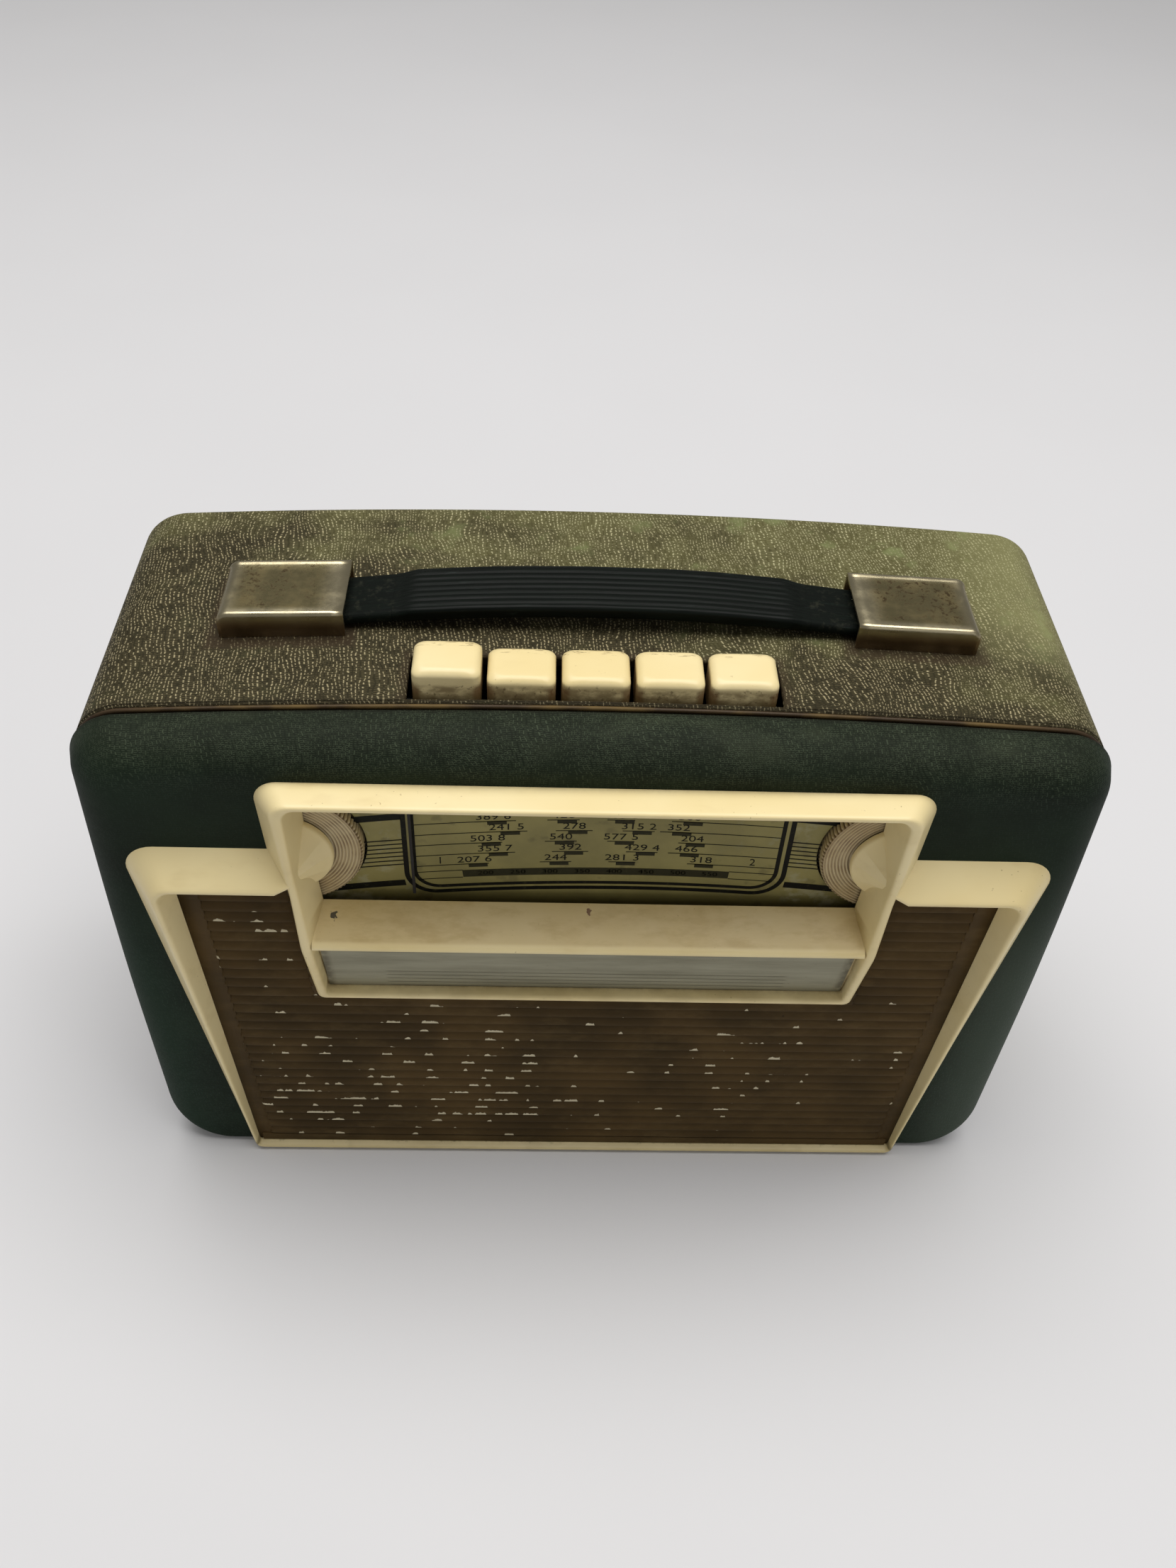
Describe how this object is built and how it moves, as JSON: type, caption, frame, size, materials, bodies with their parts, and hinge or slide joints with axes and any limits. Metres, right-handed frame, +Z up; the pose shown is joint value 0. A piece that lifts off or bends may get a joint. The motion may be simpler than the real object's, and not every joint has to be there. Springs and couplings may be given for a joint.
{
  "type": "transistor radio",
  "caption": "Portable radio: leathercloth case, green front, cream dial and grille frame, louvred grille, thumbwheels, push keys on top and a strap handle in metal caps.",
  "frame": {"origin": "middle of the radio's box, seen from above, on the plane that its flat foot stands on", "axes": "+X to the right seen from the front, along the case's width; +Y from the grille to the back cover; +Z up. The grille and dial face -Y"},
  "size_m": [0.2778, 0.118, 0.1984],
  "materials": {
    "olive_leathercloth": "grained leathercloth over plywood, dusty",
    "green_leathercloth": "fine grained dark green leathercloth",
    "bronze_bead": "bronze coloured piping, dull",
    "brown_fibreboard": "pressed fibreboard, brown",
    "steel_screws": "plated steel, dull",
    "pine_blocks": "planed softwood",
    "cream_moulding": "cream thermoplastic, soft gloss, yellowed",
    "brown_paint": "brown paint, chipped on the louvre edges",
    "dark_cloth": "loose dark weave",
    "plywood": "plywood",
    "plate_metal": "aged satin aluminium",
    "printed_dial": "olive printed scale",
    "dark_pointer": "dark enamel",
    "bright_steel": "plain steel",
    "drive_cord": "braided cord",
    "beige_wheels": "beige plastic, turned rings",
    "plated_metal": "plated sheet",
    "brass_parts": "brass, dull",
    "pot_metal": "grey metal",
    "chassis_metal": "grey plated sheet steel",
    "aged_nickel": "aged nickel plate, pitted",
    "dark_strap": "ribbed dark green-black flexible plastic",
    "black_paper": "felted black paper",
    "brown_laminate": "paper laminate",
    "black_cans": "black enamel",
    "capacitor_cans": "sleeved aluminium",
    "waxed_windings": "waxed copper windings and laminations",
    "ferrite": "grey-black ferrite",
    "cream_clips": "cream plastic",
    "battery_jackets": "printed card jacket, plain",
    "lead_sleeves": "plastic sleeved leads"
  },
  "bodies": {
    "case": {"case_body": "olive_leathercloth", "front_shell": "green_leathercloth", "seam_bead": "bronze_bead", "back_cover": "brown_fibreboard", "back_screws": "steel_screws", "corner_blocks": "pine_blocks", "front_moulding": "cream_moulding", "speaker_grille": "brown_paint", "grille_cloth": "dark_cloth", "baffle_board": "plywood", "nameplate": "plate_metal", "dial_plate": "printed_dial", "pointer_rail": "bright_steel", "drive_cord": "drive_cord", "tuning_capacitor": "plated_metal", "tuning_bush": "brass_parts", "volume_pot": "pot_metal", "chassis": "chassis_metal", "chassis_screws": "steel_screws", "key_bank": "chassis_metal", "key_spring_1": "bright_steel", "key_spring_2": "bright_steel", "key_spring_3": "bright_steel", "key_spring_4": "bright_steel", "key_spring_5": "bright_steel", "handle_cap_left": "aged_nickel", "handle_cap_right": "aged_nickel", "handle_neck_left": "dark_strap", "handle_neck_right": "dark_strap", "cap_screws": "steel_screws", "speaker_basket": "chassis_metal", "speaker_cone": "black_paper", "speaker_magnet": "pot_metal", "speaker_screws": "steel_screws", "circuit_board": "brown_laminate", "board_pillars": "brass_parts", "transistors": "black_cans", "if_cans": "plated_metal", "electrolytics": "capacitor_cans", "transformers": "waxed_windings", "ferrite_rod": "ferrite", "aerial_coils": "waxed_windings", "ferrite_clips": "cream_clips", "batteries": "battery_jackets", "battery_holder": "bright_steel", "battery_contacts": "brass_parts", "wiring": "lead_sleeves"},
    "volume_wheel": {"volume_knob": "beige_wheels"},
    "tuning_wheel": {"tuning_knob": "beige_wheels"},
    "pointer": {"tuning_pointer": "dark_pointer"},
    "drum_and_rotor": {"cord_drum": "beige_wheels", "tuning_rotor": "plated_metal"},
    "left_pulley": {"pulley_left": "beige_wheels"},
    "right_pulley": {"pulley_right": "beige_wheels"},
    "key_1": {"button_1": "cream_moulding"},
    "key_2": {"button_2": "cream_moulding"},
    "key_3": {"button_3": "cream_moulding"},
    "key_4": {"button_4": "cream_moulding"},
    "key_5": {"button_5": "cream_moulding"},
    "handle": {"handle_strap": "dark_strap"}
  },
  "joints": [
    {"name": "volume_turn", "type": "hinge", "parent": "case", "child": "volume_wheel", "pos_m": [-0.0845, -0.04, 0.1465], "axis": [0, 1, 0], "range_deg": [0, 300]},
    {"name": "tuning_turn", "type": "hinge", "parent": "case", "child": "tuning_wheel", "pos_m": [0.0845, -0.04, 0.1465], "axis": [0, 1, 0], "range_deg": [0, 895]},
    {"name": "pointer_slide", "type": "slide", "parent": "case", "child": "pointer", "axis": [1, 0, 0], "range_m": [0, 0.1]},
    {"name": "drum_turn", "type": "hinge", "parent": "case", "child": "drum_and_rotor", "pos_m": [0.01, -0.035, 0.133], "axis": [0, 1, 0], "range_deg": [0, 180]},
    {"name": "left_pulley_turn", "type": "hinge", "parent": "case", "child": "left_pulley", "pos_m": [-0.061, -0.035, 0.1753], "axis": [0, 1, 0], "range_deg": [0, 1080]},
    {"name": "right_pulley_turn", "type": "hinge", "parent": "case", "child": "right_pulley", "pos_m": [0.061, -0.035, 0.1753], "axis": [0, 1, 0], "range_deg": [0, 1080]},
    {"name": "button_1_press", "type": "slide", "parent": "case", "child": "key_1", "axis": [0, 0, -1], "range_m": [0, 0.0045], "stiffness_N_per_m": 200, "springref_m": -0.002, "deforming": ["key_spring_1"]},
    {"name": "button_2_press", "type": "slide", "parent": "case", "child": "key_2", "axis": [0, 0, -1], "range_m": [0, 0.0045], "stiffness_N_per_m": 200, "springref_m": -0.002, "deforming": ["key_spring_2"]},
    {"name": "button_3_press", "type": "slide", "parent": "case", "child": "key_3", "axis": [0, 0, -1], "range_m": [0, 0.0045], "stiffness_N_per_m": 200, "springref_m": -0.002, "deforming": ["key_spring_3"]},
    {"name": "button_4_press", "type": "slide", "parent": "case", "child": "key_4", "axis": [0, 0, -1], "range_m": [0, 0.0045], "stiffness_N_per_m": 200, "springref_m": -0.002, "deforming": ["key_spring_4"]},
    {"name": "button_5_press", "type": "slide", "parent": "case", "child": "key_5", "axis": [0, 0, -1], "range_m": [0, 0.0045], "stiffness_N_per_m": 200, "springref_m": -0.002, "deforming": ["key_spring_5"]},
    {"name": "handle_lift", "type": "slide", "parent": "case", "child": "handle", "axis": [0, 0, 1], "range_m": [0, 0.008], "deforming": ["handle_neck_left", "handle_neck_right"]}
  ],
  "couplings": [
    {"joint": "pointer_slide", "follows": "tuning_turn", "m_per_rad": 0.0064},
    {"joint": "drum_turn", "follows": "tuning_turn", "ratio": 0.20106},
    {"joint": "left_pulley_turn", "follows": "tuning_turn", "ratio": 1.2007},
    {"joint": "right_pulley_turn", "follows": "tuning_turn", "ratio": 1.2007}
  ]
}
